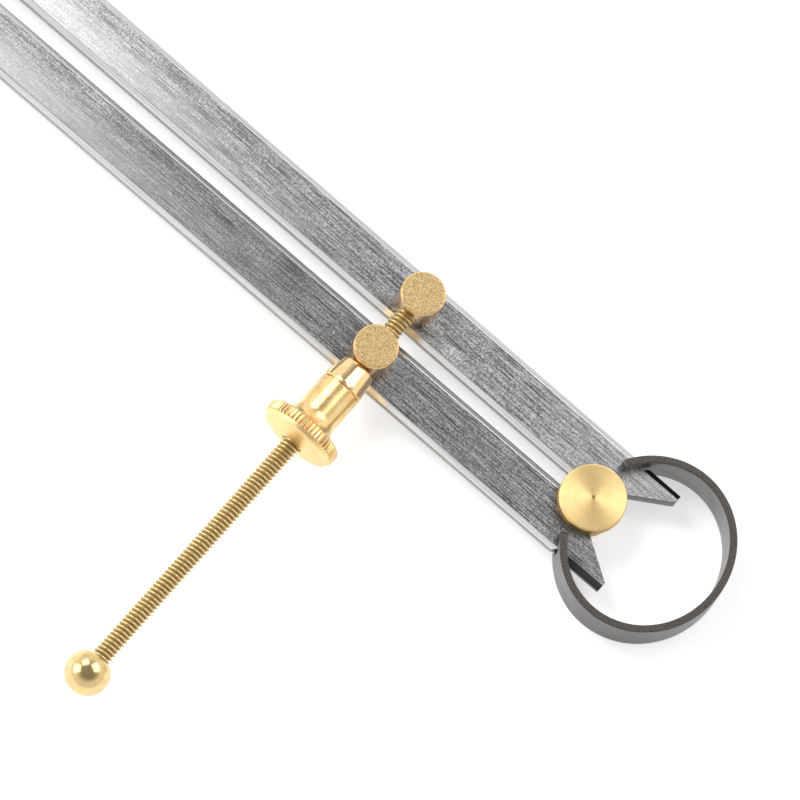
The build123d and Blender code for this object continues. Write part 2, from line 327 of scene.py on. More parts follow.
def even_normals(thing):
    """Makes flat faces look flat up to their rounded edges."""
    modifier = thing.modifiers.new("even_normals", "WEIGHTED_NORMAL")
    modifier.keep_sharp = True
    modifier.weight = FLAT_WEIGHT
    return thing


def mesh_from(name, bm, angle=SHARP_ANGLE):
    """A smooth-shaded mesh from what was built, which is freed."""
    bmesh.ops.recalc_face_normals(bm, faces=bm.faces[:])
    mesh = bpy.data.meshes.new(name)
    bm.to_mesh(mesh)
    bm.free()
    smooth(mesh, angle)
    return mesh


def rounded(corners, closed=False):
    """Rounds the corners of an outline, given as (radius, height, fillet) or (along, across, fillet)."""
    points = []
    count = len(corners)
    for i, (r, z, fillet) in enumerate(corners):
        here = Vector((r, z))
        ends = not closed and i in (0, count - 1)
        if ends or fillet <= 0:
            points.append(here)
            continue
        before = Vector(corners[i - 1][:2]) - here
        after = Vector(corners[(i + 1) % count][:2]) - here
        reach = min(fillet, CORNER_SHARE * before.length, CORNER_SHARE * after.length)
        start = here + before.normalized() * reach
        end = here + after.normalized() * reach
        for step in range(CORNER_STEPS + 1):
            t = step / CORNER_STEPS
            points.append((1 - t) ** 2 * start + 2 * t * (1 - t) * here + t * t * end)
    return points


def arc(start, end, bulge, steps):
    """Points from start to end along a shallow curve that stands out to the right by bulge."""
    start, end = Vector(start), Vector(end)
    chord = end - start
    side = Vector((chord.y, -chord.x)).normalized()
    points = []
    for step in range(steps + 1):
        t = step / steps
        points.append(start + chord * t + side * bulge * 4 * t * (1 - t))
    return points


def lathe(name, points, place, closed=False, segments=ROUND_SEGMENTS, shape=None):
    """A body turned about its own Z axis from (radius, height) points in millimetres."""
    bm = bmesh.new()
    rings = []
    for r, z in points:
        if r < ON_AXIS:
            rings.append([bm.verts.new((0, 0, z * MM))])
            continue
        ring = []
        for step in range(segments):
            angle = 2 * math.pi * step / segments
            radius = shape(r, z, step) if shape else r
            x = radius * math.cos(angle) * MM
            y = radius * math.sin(angle) * MM
            ring.append(bm.verts.new((x, y, z * MM)))
        rings.append(ring)
    pairs = list(zip(rings, rings[1:]))
    if closed:
        pairs.append((rings[-1], rings[0]))
    for lower, upper in pairs:
        for step in range(segments):
            following = (step + 1) % segments
            if len(lower) == 1 and len(upper) == 1:
                break
            if len(lower) == 1:
                bm.faces.new((lower[0], upper[step], upper[following]))
            elif len(upper) == 1:
                bm.faces.new((lower[step], upper[0], lower[following]))
            else:
                bm.faces.new((lower[step], upper[step], upper[following], lower[following]))
    thing = new_object(name, mesh_from(name, bm), place)
    return even_normals(thing)


def bored(thing, radius, low, high):
    """Cuts a round hole along Y through a piece, at the height of the screw."""
    bm = bmesh.new()
    bmesh.ops.create_cone(
        bm,
        cap_ends=True,
        segments=BORE_SEGMENTS,
        radius1=radius * MM,
        radius2=radius * MM,
        depth=(high - low) * MM,
    )
    place = Matrix.Translation((0, (low + high) / 2 * MM, SCREW_AXIS.z)) @ TO_SCREW
    bmesh.ops.transform(bm, matrix=place, verts=bm.verts[:])
    cutter = new_object("cutter", mesh_from("cutter", bm), thing.matrix_world.copy())
    modifier = thing.modifiers.new("bore", "BOOLEAN")
    modifier.operation = "DIFFERENCE"
    modifier.solver = "EXACT"
    modifier.object = cutter
    thing.modifiers.move(len(thing.modifiers) - 1, 0)
    bpy.context.view_layer.update()
    shown = [m for m in thing.modifiers if m.type != "BOOLEAN"]
    for other in shown:
        other.show_viewport = False
    evaluated = thing.evaluated_get(bpy.context.evaluated_depsgraph_get())
    mesh = bpy.data.meshes.new_from_object(evaluated)
    thing.modifiers.remove(modifier)
    for other in shown:
        other.show_viewport = True
    thing.data = mesh
    smooth(mesh)
    bpy.data.objects.remove(cutter)
    return thing


def at(x, y):
    """A place on the table for a piece that stands upright."""
    return Matrix.Translation((x, y, 0))


def on_screw(y):
    """The place of a piece turned about the screw, which starts at y and runs towards the ball."""
    return Matrix.Translation((SCREW_AXIS.x, y, SCREW_AXIS.z)) @ TO_SCREW


def seat(radius, height, up, cut=SEAT_IN):
    """The edge of a turned piece that sits against another at a height, where up tells its side: 1 or -1."""
    return [(radius - cut, height, SEAT_IN_ROUND), (radius, height + up * SEAT_UP, SEAT_UP_ROUND)]


# ---------------------------------------------------------------- pieces

def make_leg(name, node, body):
    """A leg with every edge slightly broken, from the CAD outline."""
    bm = bmesh.new()
    bm.from_mesh(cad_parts[node].data)
    bmesh.ops.remove_doubles(bm, verts=bm.verts[:], dist=LEG_MERGE * MM)
    bmesh.ops.dissolve_limit(
        bm, angle_limit=LEG_FLAT_ANGLE, verts=bm.verts[:], edges=bm.edges[:], use_dissolve_boundaries=False
    )
    corners = [e for e in bm.edges if len(e.link_faces) == 2 and e.calc_face_angle(0) > LEG_CORNER_ANGLE]
    bmesh.ops.bevel(
        bm, geom=corners, offset=LEG_EDGE * MM, segments=2, profile=0.5, affect="EDGES", clamp_overlap=True
    )
    leg = new_object(name, mesh_from(name, bm))
    even_normals(leg)
    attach(leg, body)
    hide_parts(node)
    return leg


def make_fulcrum():
    """The turned front cap with its core, and the back cap."""
    cap = rounded([
        (0, BACK_FLOOR, 0),
        (SPIGOT_RADIUS, BACK_FLOOR, SPIGOT_ROUND),
        (SPIGOT_RADIUS, LEG_UNDERSIDE, 0),
        (CORE_RADIUS, LEG_UNDERSIDE, 0),
        (CORE_RADIUS, LEG_FACE, 0),
        *seat(CAP_RADIUS, LEG_FACE, 1),
        (CAP_RADIUS, CAP_TOP - CAP_EDGE, CAP_ROUND),
        (CAP_RADIUS - CAP_EDGE, CAP_TOP, CAP_ROUND),
        (PIP_RADIUS, CAP_TOP, PIP_ROUND),
        (0, CAP_TOP - PIP_DEPTH, 0),
    ])
    front = lathe("fulcrum_cap", cap, at(0, 0))
    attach(front, "fulcrum")
    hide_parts("fulcrum_stud")
    back = rounded([
        (0, 0, 0),
        (BACK_CAP_RADIUS - CAP_EDGE, 0, CAP_ROUND),
        (BACK_CAP_RADIUS, CAP_EDGE, CAP_ROUND),
        *reversed(seat(BACK_CAP_RADIUS, LEG_UNDERSIDE, -1)),
        (SPIGOT_RADIUS + FIT_GAP, LEG_UNDERSIDE, 0),
        (SPIGOT_RADIUS + FIT_GAP, BACK_FLOOR - FIT_GAP, 0),
        (0, BACK_FLOOR - FIT_GAP, 0),
    ])
    rear = lathe("fulcrum_back", back, at(0, 0))
    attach(rear, "fulcrum")
    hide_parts("fulcrum_back_cap")
    return front, rear


def make_post(name, node, body, bore_radius, bore_low, bore_high, pinned=False):
    """A swivel post: head, shank and riveted end, bored for the screw, with a hole for the pin if pinned."""
    if pinned:
        end = [(0, PIN_TOP, 0), (PIN_HOLE_RADIUS, PIN_TOP, 0), (PIN_HOLE_RADIUS, RIVET_LOW, 0)]
    else:
        end = [(0, RIVET_LOW, 0)]
    outline = rounded([
        *end,
        (RIVET_RADIUS - RIVET_IN, RIVET_LOW, RIVET_END_ROUND),
        (RIVET_RADIUS, WASHER_LOW - RIVET_SIDE, RIVET_SIDE_ROUND),
        (RIVET_RADIUS, WASHER_LOW, SEAT_IN_ROUND),
        (SHANK_RADIUS, WASHER_LOW, 0),
        (SHANK_RADIUS, LEG_FACE, 0),
        *seat(POST_RADIUS, LEG_FACE, 1),
        (POST_RADIUS, POST_TOP - POST_EDGE, POST_ROUND),
        (POST_RADIUS - POST_EDGE, POST_TOP, POST_ROUND),
        (0, POST_TOP, 0),
    ])
    spot = middle(node)
    post = lathe(name, outline, at(spot.x, spot.y))
    bored(post, bore_radius, bore_low, bore_high)
    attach(post, body)
    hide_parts(node)
    return post


def make_washer(name, node, body):
    """The washer under a leg."""
    outline = rounded([
        (SHANK_RADIUS + FIT_GAP, WASHER_LOW, 0),
        (WASHER_RADIUS, WASHER_LOW, WASHER_ROUND),
        (WASHER_RADIUS, LEG_UNDERSIDE, WASHER_ROUND),
        (SHANK_RADIUS + FIT_GAP, LEG_UNDERSIDE, 0),
    ], closed=True)
    spot = middle(node)
    washer = lathe(name, outline, at(spot.x, spot.y), closed=True)
    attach(washer, body)
    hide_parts(node)
    return washer


def thread_row(bm, angle, rise, length):
    """The thread's profile at one angle of its helix, as vertices from its crest past its root."""
    profile = [
        (-CREST_HALF, CREST_RADIUS - LAND_DROP),
        (0, CREST_RADIUS),
        (CREST_HALF, CREST_RADIUS - LAND_DROP),
        (PITCH / 2 - ROOT_HALF, ROOT_RADIUS + LAND_DROP),
        (PITCH / 2, ROOT_RADIUS),
        (PITCH / 2 + ROOT_HALF, ROOT_RADIUS + LAND_DROP),
    ]
    row = []
    for offset, radius in profile:
        x = radius * MM * math.cos(angle)
        y = radius * MM * math.sin(angle)
        z = min(max(rise + offset, 0), length) * MM
        row.append(bm.verts.new((x, y, z)))
    return row


def make_screw():
    """The screw with its real thread, swept along a helix and closed at both ends."""
    low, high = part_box("adjusting_screw")
    length = (high.y - low.y) / MM
    columns = int((length / PITCH - THREAD_SPARE_TURNS) * THREAD_SEGMENTS)
    first = THREAD_START_TURNS * PITCH
    bm = bmesh.new()
    rows = []
    for i in range(columns + THREAD_SEGMENTS + 1):
        angle = 2 * math.pi * i / THREAD_SEGMENTS
        rise = first + PITCH * i / THREAD_SEGMENTS
        rows.append(thread_row(bm, angle, rise, length))
    for i in range(columns):
        for k in range(len(rows[i]) - 1):
            bm.faces.new((rows[i][k], rows[i][k + 1], rows[i + 1][k + 1], rows[i + 1][k]))
        last, above = rows[i][-1], rows[i + THREAD_SEGMENTS][0]
        bm.faces.new((last, above, rows[i + 1 + THREAD_SEGMENTS][0], rows[i + 1][-1]))
    for row in rows:
        for vertex in row:
            if not vertex.link_faces:
                bm.verts.remove(vertex)
    rims = [e for e in bm.edges if len(e.link_faces) == 1]
    bmesh.ops.holes_fill(bm, edges=rims, sides=0)
    screw = new_object("screw_thread", mesh_from("screw_thread", bm, THREAD_SHARP_ANGLE), on_screw(high.y))
    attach(screw, "anchor")
    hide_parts("adjusting_screw")
    return screw


def make_ball():
    """The ball on the end of the screw, with a flat round the screw."""
    mouth = math.sqrt(BALL_RADIUS ** 2 - BALL_FLAT ** 2)
    points = [Vector((0, BALL_RADIUS))]
    start = math.pi / 2
    end = -math.asin(BALL_FLAT / BALL_RADIUS) + BALL_RIM_ANGLE
    for step in range(1, BALL_STEPS + 1):
        angle = start + (end - start) * step / BALL_STEPS
        points.append(Vector((BALL_RADIUS * math.cos(angle), BALL_RADIUS * math.sin(angle))))
    points.append(Vector((mouth - BALL_RIM, -BALL_FLAT)))
    points.append(Vector((0, -BALL_FLAT)))
    centre = middle("screw_ball")
    centre.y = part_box("screw_ball")[0].y + BALL_RADIUS * MM
    ball = lathe("ball", points, Matrix.Translation(centre) @ TO_SCREW)
    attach(ball, "anchor")
    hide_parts("screw_ball")
    return ball


def make_nose():
    """The tapered nose of the nut, with its spigot and the groove for the snap ring."""
    outline = rounded([
        (NUT_BORE, NOSE_START, NOSE_BORE_ROUND),
        (NOSE_TIP_RADIUS - NOSE_TIP_IN, NOSE_START, NUT_EDGE_ROUND),
        (NOSE_TIP_RADIUS + NOSE_TIP_OUT, NOSE_START + NOSE_TIP_LENGTH, NOSE_TIP_ROUND),
        (NUT_RADIUS - NOSE_SHOULDER_IN, NOSE_END - NOSE_SHOULDER, NOSE_SHOULDER_ROUND),
        *reversed(seat(NUT_RADIUS, NOSE_END, -1, cut=NUT_SEAT_IN)),
        (NUT_SPIGOT_RADIUS, NOSE_END, 0),
        (NUT_SPIGOT_RADIUS, GROOVE_START, 0),
        (GROOVE_INNER_RADIUS, GROOVE_START, 0),
        (GROOVE_INNER_RADIUS, GROOVE_END, 0),
        (NUT_SPIGOT_RADIUS, GROOVE_END, 0),
        (NUT_SPIGOT_RADIUS, SPIGOT_END, NUT_EDGE_ROUND),
        (NUT_BORE, SPIGOT_END, NUT_EDGE_ROUND),
    ], closed=True)
    nose = lathe("nut_nose_cone", outline, on_screw(GUIDE_AXIS.y), closed=True)
    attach(nose, "nut_front")
    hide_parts("nut_nose")
    return nose


def knurled(radius, height, step):
    """The radius of the nut at one step round it, with the straight knurl cut in the disc's rim."""
    inside = radius < DOME_EDGE_RADIUS + KNURL_CLEAR
    before = height < DISC_START - KNURL_MARGIN
    after = height > DISC_END + KNURL_MARGIN
    if inside or before or after:
        return radius
    share = (step % KNURL_STEPS) / KNURL_STEPS
    tooth = abs(2 * share - 1)
    groove = max(0.0, 1 - tooth / KNURL_GROOVE_SHARE) ** KNURL_GROOVE_CURVE
    return radius - KNURL_DEPTH * groove


def make_sleeve():
    """The sleeve of the nut: a smooth barrel that flares into a knurled disc with a domed back."""
    flare = FLARE_RADIUS - NUT_RADIUS
    cove = []
    for step in range(1, FLARE_STEPS):
        angle = math.pi / 2 * step / FLARE_STEPS
        cove.append(Vector((
            FLARE_RADIUS - flare * math.cos(angle),
            DISC_START - flare + flare * math.sin(angle),
        )))
    shoulder = (DOME_SHOULDER_RADIUS, DOME_SHOULDER)
    dome = arc((DOME_EDGE_RADIUS, DISC_END), shoulder, DOME_SHOULDER_BULGE, DOME_SHOULDER_STEPS)[1:]
    dome += arc(shoulder, (DOME_END_RADIUS, NUT_END), DOME_BULGE, DOME_STEPS)[1:-1]
    mouth = rounded([
        (SLEEVE_MOUTH_RADIUS, GROOVE_START, 0),
        (SLEEVE_MOUTH_RADIUS, SLEEVE_START, 0),
        *seat(NUT_RADIUS, SLEEVE_START, 1, cut=NUT_SEAT_IN),
        (NUT_RADIUS, DISC_START - flare, 0),
    ])
    rim = rounded([
        (FLARE_RADIUS, DISC_START, 0),
        (DISC_RADIUS - DISC_FRONT_EDGE, DISC_START, DISC_FACE_ROUND),
        (DISC_RADIUS, DISC_START + DISC_FRONT_EDGE, DISC_SIDE_ROUND),
        (DISC_RADIUS, DISC_END - DISC_BACK_EDGE, DISC_SIDE_ROUND),
        (DOME_EDGE_RADIUS + DOME_LIP, DISC_END - DOME_LIP_DROP, DISC_FACE_ROUND),
        (DOME_EDGE_RADIUS, DISC_END, 0),
    ])
    inside = rounded([
        (DOME_END_RADIUS, NUT_END, 0),
        (DOME_END_RADIUS - NUT_MOUTH_FLAT, NUT_END, NUT_EDGE_ROUND),
        (NUT_BORE, NUT_END - NUT_MOUTH_DEPTH, NUT_EDGE_ROUND),
        (NUT_BORE, CHAMBER_END, 0),
        (CHAMBER_RADIUS, CHAMBER_END, 0),
        (CHAMBER_RADIUS, CHAMBER_START, 0),
        (SLEEVE_MOUTH_RADIUS, CHAMBER_START, 0),
        (SLEEVE_MOUTH_RADIUS, GROOVE_END, 0),
        (GROOVE_OUTER_RADIUS, GROOVE_END, 0),
        (GROOVE_OUTER_RADIUS, GROOVE_START, 0),
    ])
    points = mouth + cove + rim + dome + inside
    segments = KNURL_TEETH * KNURL_STEPS
    place = on_screw(GUIDE_AXIS.y)
    sleeve = lathe("nut_barrel", points, place, closed=True, segments=segments, shape=knurled)
    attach(sleeve, "nut")
    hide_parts("nut_sleeve")
    return sleeve


def bow_place(length, lengths, angles, height, inset, side):
    """Where a point of the flat band goes when the band is bent to its oval."""
    for i in range(1, len(lengths)):
        if length <= lengths[i] or i == len(lengths) - 1:
            break
    share = (length - lengths[i - 1]) / (lengths[i] - lengths[i - 1])
    angle = angles[i - 1] + (angles[i] - angles[i - 1]) * share
    x = BOW_CENTRE + (BOW_LENGTH_RADIUS - inset) * math.cos(angle)
    y = (BOW_WIDTH_RADIUS - inset) * math.sin(angle)
    return Vector((x * MM, side * y * MM, height * MM))


def bow_run():
    """The angles round half the bow's oval, and how far along the band each of them lies."""
    angles = [math.radians(BOW_END_ANGLE) * i / BOW_STEPS for i in range(BOW_STEPS + 1)]
    lengths = [0.0]
    for before, after in zip(angles, angles[1:]):
        half = (before + after) / 2
        speed = math.hypot(BOW_LENGTH_RADIUS * math.sin(half), BOW_WIDTH_RADIUS * math.cos(half))
        lengths.append(lengths[-1] + speed * (after - before))
    return angles, lengths


def flat_band(fork, end):
    """Half the band laid flat, from the seam to its forked end, with softened edges along its faces."""
    outline = rounded([
        (0, 0, 0),
        (end, 0, PRONG_CORNER),
        (end, FORK_LOW, PRONG_CORNER / 2),
        (fork, FORK_LOW, FORK_CORNER),
        (fork, FORK_HIGH, FORK_CORNER),
        (end, FORK_HIGH, PRONG_CORNER / 2),
        (end, BAND_WIDTH, PRONG_CORNER),
        (0, BAND_WIDTH, 0),
    ], closed=True)
    bm = bmesh.new()
    face = bm.faces.new([bm.verts.new((p.x, p.y, 0)) for p in outline])
    grown = bmesh.ops.extrude_face_region(bm, geom=[face])
    for element in grown["geom"]:
        if isinstance(element, bmesh.types.BMVert):
            element.co.z = BAND_THICK
    bmesh.ops.recalc_face_normals(bm, faces=bm.faces[:])
    edges = []
    for edge in bm.edges:
        across = abs(edge.verts[0].co.z - edge.verts[1].co.z) > BAND_THICK / 2
        at_seam = all(v.co.x < AT_SEAM for v in edge.verts)
        if not across and not at_seam:
            edges.append(edge)
    bmesh.ops.bevel(
        bm, geom=edges, offset=BOW_EDGE, segments=3, profile=0.5, affect="EDGES", clamp_overlap=True
    )
    return bm


def slice_at(bm, x):
    """Cuts the faces of what is being built along a plane across X."""
    everything = bm.verts[:] + bm.edges[:] + bm.faces[:]
    bmesh.ops.bisect_plane(
        bm, geom=everything, dist=SLICE_TOLERANCE, plane_co=(x, 0, 0), plane_no=(1, 0, 0)
    )


def make_bow_half(name, side, nodes):
    """Half of the bow spring: a flat forked band, cut into slices and bent to half an oval."""
    angles, lengths = bow_run()
    end = lengths[-1]
    fork = lengths[round(BOW_STEPS * FORK_ANGLE / BOW_END_ANGLE)]
    bm = flat_band(fork, end)
    slices = int(BOW_END_ANGLE / BOW_SLICE_ANGLE)
    for i in range(1, slices):
        slice_at(bm, end * i / slices)
    slice_at(bm, SEAM_STRIP)
    for vertex in bm.verts:
        length, height, inset = vertex.co
        vertex.co = bow_place(length, lengths, angles, height, inset, side)
    bmesh.ops.triangulate(bm, faces=[f for f in bm.faces if len(f.verts) > 4])
    half = new_object(name, mesh_from(name, bm))
    even_normals(half)
    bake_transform(half)
    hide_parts(*nodes)
    return half


# ---------------------------------------------------------------- materials

class Look:
    """A node material in the making."""

    def __init__(self, name):
        self.material = bpy.data.materials.new(name)
        self.material.use_nodes = True
        self.tree = self.material.node_tree
        self.shader = self.tree.nodes["Principled BSDF"]
        self.coordinates = self.tree.nodes.new("ShaderNodeTexCoord")

    def node(self, kind, **values):
        """A new node with its settings."""
        made = self.tree.nodes.new(kind)
        for key, value in values.items():
            setattr(made, key, value)
        return made

    def link(self, source, target):
        self.tree.links.new(source, target)

    def feed(self, socket, value):
        """Gives a socket another node's output, or a constant."""
        if isinstance(value, bpy.types.NodeSocket):
            self.link(value, socket)
        else:
            socket.default_value = value

    def grid(self, scale):
        """Object coordinates counted in millimetres times a scale for each axis."""
        mapping = self.node("ShaderNodeMapping")
        self.link(self.coordinates.outputs["Object"], mapping.inputs["Vector"])
        mapping.inputs["Scale"].default_value = [s / MM for s in scale]
        return mapping.outputs["Vector"]

    def noise(self, scale, detail=3.0, roughness=0.55, distortion=0.0):
        """Noise with so many spots in a millimetre along each axis."""
        made = self.node("ShaderNodeTexNoise")
        self.link(self.grid(scale), made.inputs["Vector"])
        made.inputs["Scale"].default_value = 1.0
        made.inputs["Detail"].default_value = detail
        made.inputs["Roughness"].default_value = roughness
        made.inputs["Distortion"].default_value = distortion
        return made.outputs["Fac"]

    def math(self, operation, a, b=0.0, c=0.0):
        made = self.node("ShaderNodeMath", operation=operation)
        self.feed(made.inputs[0], a)
        self.feed(made.inputs[1], b)
        self.feed(made.inputs[2], c)
        return made.outputs[0]

    def times(self, a, b):
        return self.math("MULTIPLY", a, b)

    def plus(self, a, b):
        return self.math("ADD", a, b)

    def spread(self, value, low, high, to_low=0.0, to_high=1.0):
        """Stretches a value from one range to another, clamped."""
        made = self.node("ShaderNodeMapRange")
        self.feed(made.inputs["Value"], value)
        made.inputs["From Min"].default_value = low
        made.inputs["From Max"].default_value = high
        made.inputs["To Min"].default_value = to_low
        made.inputs["To Max"].default_value = to_high
        return made.outputs["Result"]

    def blend(self, fac, a, b):
        """The first colour, or as much of the second as the factor says."""
        made = self.node("ShaderNodeMix", data_type="RGBA", blend_type="MIX")
        self.feed(made.inputs[0], fac)
        self.feed(made.inputs[6], a)
        self.feed(made.inputs[7], b)
        return made.outputs[2]

    def part(self, vector, axis):
        made = self.node("ShaderNodeSeparateXYZ")
        self.link(vector, made.inputs[0])
        return made.outputs[axis]

    def place(self, axis):
        """The object coordinate along an axis, in millimetres."""
        return self.times(self.part(self.coordinates.outputs["Object"], axis), 1 / MM)

    def normal(self, axis):
        """How much the surface faces along an axis of the piece, negative if it faces back."""
        return self.part(self.coordinates.outputs["Normal"], axis)

    def facing(self, axis):
        """How much the surface faces along an axis of the piece, either way."""
        return self.math("ABSOLUTE", self.normal(axis))

    def from_axis(self):
        """The distance from the piece's own Z axis, in millimetres."""
        x_square = self.math("POWER", self.place("X"), 2.0)
        y_square = self.math("POWER", self.place("Y"), 2.0)
        return self.math("SQRT", self.plus(x_square, y_square))

    def turning_lines(self, distance, count):
        """Lines left by a lathe, with so many in a millimetre of a distance."""
        made = self.node("ShaderNodeTexNoise", noise_dimensions="1D")
        self.link(self.times(distance, count), made.inputs["W"])
        made.inputs["Scale"].default_value = 1.0
        made.inputs["Detail"].default_value = 3.0
        return made.outputs["Fac"]

    def scratches(self, scale, width):
        """Thin curved lines, broken up, from 0 to 1."""
        line = self.math("ABSOLUTE", self.math("SUBTRACT", self.noise(scale, 1.0, 0.4, 0.6), 0.5))
        thin = self.spread(line, 0.0, width, 1.0, 0.0)
        patches = self.spread(self.noise([s * 1.7 for s in scale], 2.0), 0.56, 0.62)
        return self.times(thin, patches)

    def bump(self, height, depth, strength):
        """Fine relief, with its depth in millimetres."""
        made = self.node("ShaderNodeBump")
        self.link(height, made.inputs["Height"])
        made.inputs["Distance"].default_value = depth * MM
        made.inputs["Strength"].default_value = strength
        self.link(made.outputs["Normal"], self.shader.inputs["Normal"])

    def metal(self, colour, roughness):
        """Bare metal of a colour and a roughness."""
        self.shader.inputs["Metallic"].default_value = 1.0
        self.feed(self.shader.inputs["Base Color"], colour)
        self.feed(self.shader.inputs["Roughness"], roughness)

    def brushed(self, amount, direction):
        """Stretches the highlight along a direction fixed to the piece."""
        self.shader.inputs["Anisotropic"].default_value = amount
        turn = self.node("ShaderNodeVectorTransform", vector_type="VECTOR")
        turn.convert_from = "OBJECT"
        turn.convert_to = "WORLD"
        turn.inputs[0].default_value = direction
        self.link(turn.outputs[0], self.shader.inputs["Tangent"])

    def turned(self, amount, turn=0.25):
        """Stretches the highlight outwards from the axis, as on a face cut in a lathe."""
        self.shader.inputs["Anisotropic"].default_value = amount
        self.shader.inputs["Anisotropic Rotation"].default_value = turn
        tangent = self.node("ShaderNodeTangent", direction_type="RADIAL", axis="Z")
        self.link(tangent.outputs[0], self.shader.inputs["Tangent"])


def shade(code):
    """A colour from its usual six digit form, made linear."""
    parts = [int(code[i:i + 2], 16) / 255 for i in (0, 2, 4)]
    return [c / 12.92 if c <= 0.04045 else ((c + 0.055) / 1.055) ** 2.4 for c in parts] + [1.0]


def leg_face(look, grain, speck, scratch):
    """The ground faces, with painted highlights far out and at the left leg's fulcrum end, and painted shade
    on the right leg.
    """
    streak = look.noise((0.012, 0.8, 0.8), 2.0, 0.6)
    cloud = look.noise((0.03, 0.07, 0.07), 3.0, 0.6)
    spark = look.noise((1.3, 1.3, 1.3), 1.0, 0.5)
    along = look.place("X")
    hand = look.math("SIGN", look.place("Y"))
    across = look.plus(look.place("Y"), look.math("MULTIPLY_ADD", hand, -LEG_APART, c=LEG_HALF_WIDTH))
    base = look.blend(look.spread(grain, 0.36, 0.64), shade("5e5f61"), shade("d4d4d5"))
    base = look.blend(look.spread(speck, 0.46, 0.64, 0.0, 0.60), base, shade("3c3d3f"))
    base = look.blend(look.spread(speck, 0.44, 0.30, 0.0, 0.50), base, shade("f0f0f0"))
    base = look.blend(look.spread(streak, 0.40, 0.65, 0.0, 0.12), base, shade("d2d2d3"))
    base = look.blend(look.spread(cloud, 0.42, 0.62, 0.0, 0.22), base, shade("77787a"))
    # painted highlight: the faces are painted lighter towards the points, strongest along each leg's -Y side
    far = look.spread(along, LEG_PAINTED_LIGHT_START, LEG_PAINTED_LIGHT_END)
    far = look.times(far, look.spread(across, LEG_FADE_START, LEG_FADE_END, 0.50, 0.12))
    base = look.blend(far, base, shade("f2f0f0"))
    # painted highlight: the left leg is painted lighter near the fulcrum
    near = look.spread(along, LEG_NEAR_LIGHT_START, LEG_NEAR_LIGHT_END, 0.0, 0.25)
    near = look.times(near, look.spread(hand, 0.0, 0.5))
    base = look.blend(near, base, shade("d8d7d6"))
    # painted shade: the right leg is painted darker
    right = look.spread(look.place("Y"), -1.0, 1.0, 0.30, 0.0)
    base = look.blend(right, base, shade("48494b"))
    base = look.blend(look.spread(spark, 0.735, 0.78, 0.0, 0.6), base, shade("f4f4f2"))
    return look.blend(look.times(scratch, 0.55), base, shade("eeeeec"))


def leg_rim_painted_light(look, level):
    """Round the legs' faces, from level to upright, coloured by how each face is turned: a painted highlight
    on the edge, a painted dark line, a ground slope painted lighter or darker by which way it faces, and
    painted darker sides.
    """
    # painted light: the rim's bands take their colours by how they are turned, standing in for highlight and
    # shade
    side = look.spread(level, 0.12, 0.30, 1.0, 0.0)
    slope = look.times(look.spread(level, 0.58, 0.70), look.spread(level, 0.82, 0.88, 1.0, 0.0))
    edge = look.spread(level, 0.78, 0.84)
    base = look.blend(side, shade("1e1c1b"), shade("8f8a84"))
    base = look.blend(edge, base, shade("ffffff"))
    # painted light: the slope is painted lighter where it faces -Y and darker where it faces +Y
    ground = look.blend(look.spread(look.normal("Y"), -0.2, 0.2), shade("eeedec"), shade("bebdbc"))
    base = look.blend(slope, base, ground)
    lines = look.noise((0.03, 2.2, 2.2), 2.0, 0.6)
    return look.blend(look.spread(lines, 0.44, 0.62, 0.0, 0.24), base, shade("7c7b7a"))


def leg_bow_painted_shade(look, level):
    """How much painted shade darkens the legs inside the bow, on what faces outwards or towards the bow's
    crown.
    """
    in_bow = look.spread(look.place("X"), LEG_BOW_SHADE_START, LEG_BOW_SHADE_END)
    outward = look.times(look.normal("Y"), look.math("SIGN", look.place("Y")))
    away = look.spread(look.math("MAXIMUM", outward, look.normal("X")), 0.02, 0.45)
    return look.times(look.times(away, in_bow), look.spread(level, 0.30, 0.60, 0.97, 0.86))


def leg_steel():
    """Ground steel: crisp grain along the leg, speckle, a few bright specks and hairline scratches, with
    painted highlights and painted shade on the faces, the rims and inside the bow.
    """
    look = Look("leg_steel")
    grain = look.noise((0.10, 3.3, 3.3), 1.0, 0.5)
    speck = look.noise((2.6, 3.0, 3.0), 1.0, 0.5)
    scratch = look.scratches((0.08, 0.10, 0.10), 0.0025)
    level = look.facing("Z")
    flat = look.spread(level, 0.975, 0.992)
    base = look.blend(flat, leg_rim_painted_light(look, level), leg_face(look, grain, speck, scratch))
    # painted shade: the legs are painted near-black inside the bow
    base = look.blend(leg_bow_painted_shade(look, level), base, shade("1a1715"))
    rim_rough = (0.24, 0.24, 0.24, 1)
    rough = look.plus(look.spread(grain, 0.3, 0.7, 0.30, 0.42), look.spread(speck, 0.35, 0.7, -0.04, 0.08))
    look.metal(base, look.blend(flat, rim_rough, rough))
    height = look.plus(grain, look.times(speck, 0.45))
    height = look.math("SUBTRACT", height, look.times(scratch, 0.5))
    look.bump(look.times(height, flat), 0.022, 0.6)
    look.brushed(0.45, (0, 1, 0))
    return look.material


